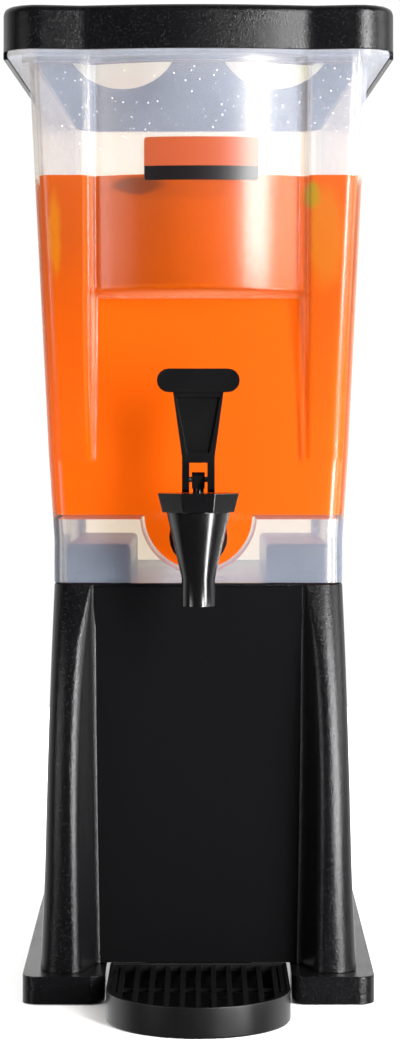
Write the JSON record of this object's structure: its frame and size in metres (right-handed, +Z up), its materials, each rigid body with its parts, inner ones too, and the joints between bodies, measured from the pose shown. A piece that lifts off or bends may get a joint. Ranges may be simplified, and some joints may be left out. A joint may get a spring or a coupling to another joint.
{
  "type": "drink dispenser",
  "caption": "Slim countertop drink dispenser: frosted tank with a lever tap on a stand with a recessed panel, lift-off lid and a round-fronted drip tray with a slatted grid.",
  "frame": {"origin": "on the table under the middle of the whole object's box", "axes": "+Z up, -Y out of the front where the tap is, +X to the right as seen from the front"},
  "size_m": [0.2184, 0.444, 0.5489],
  "materials": {
    "textured_plastic": "fine grained black moulding",
    "glossy_panel": "smooth glossy black",
    "tray_plastic": "satin black",
    "frosted_tank": "natural frosted polypropylene, see-through",
    "drink": "orange drink, the tank's contents, shown in the pictures only",
    "label": "printed film in two plain bands",
    "tap_plastic": "polished black",
    "foot_rubber": "matt rubber",
    "silicone": "milky silicone",
    "steel": "stainless"
  },
  "bodies": {
    "stand": {"stand": "textured_plastic", "front_panel": "glossy_panel", "foot_rail_left": "textured_plastic", "foot_rail_right": "textured_plastic", "rubber_foot_front_left": "foot_rubber", "rubber_foot_front_right": "foot_rubber", "rubber_foot_back_left": "foot_rubber", "rubber_foot_back_right": "foot_rubber", "foot_screw_front_left": "steel", "foot_screw_front_right": "steel", "foot_screw_back_left": "steel", "foot_screw_back_right": "steel"},
    "tray": {"drip_tray": "tray_plastic"},
    "grid": {"drip_grid": "tray_plastic"},
    "tank": {"tank": "frosted_tank", "tank_label": "label", "tap_body": "tap_plastic", "tap_bonnet": "tap_plastic", "outer_washer": "silicone", "inner_washer": "silicone", "shank_nut": "tap_plastic"},
    "lid": {"lid": "textured_plastic"},
    "stem": {"valve_stem": "tap_plastic", "seat_cup": "silicone", "return_spring": "steel", "lever_pin": "steel"},
    "lever": {"tap_lever": "tap_plastic"}
  },
  "joints": [
    {"name": "tank_lift", "type": "slide", "parent": "stand", "child": "tank", "axis": [0, 0, 1], "range_m": [0, 0.06]},
    {"name": "lid_lift", "type": "slide", "parent": "tank", "child": "lid", "axis": [0, 0, 1], "range_m": [0, 0.08]},
    {"name": "tray_slide", "type": "slide", "parent": "stand", "child": "tray", "axis": [0, -1, 0], "range_m": [0, 0.08]},
    {"name": "grid_lift", "type": "slide", "parent": "tray", "child": "grid", "axis": [0, 0, 1], "range_m": [0, 0.03]},
    {"name": "stem_lift", "type": "slide", "parent": "tank", "child": "stem", "axis": [0, 0, 1], "range_m": [0, 0.0043], "deforming": ["return_spring"]},
    {"name": "lever_tilt", "type": "hinge", "parent": "stem", "child": "lever", "pos_m": [0, -0.154, 0.289], "axis": [1, 0, 0], "range_deg": [0, 34.9], "stiffness_Nm_per_rad": 0.02, "springref_deg": -28.65}
  ],
  "couplings": [
    {"joint": "stem_lift", "follows": "lever_tilt", "m_per_rad": 0.007}
  ]
}
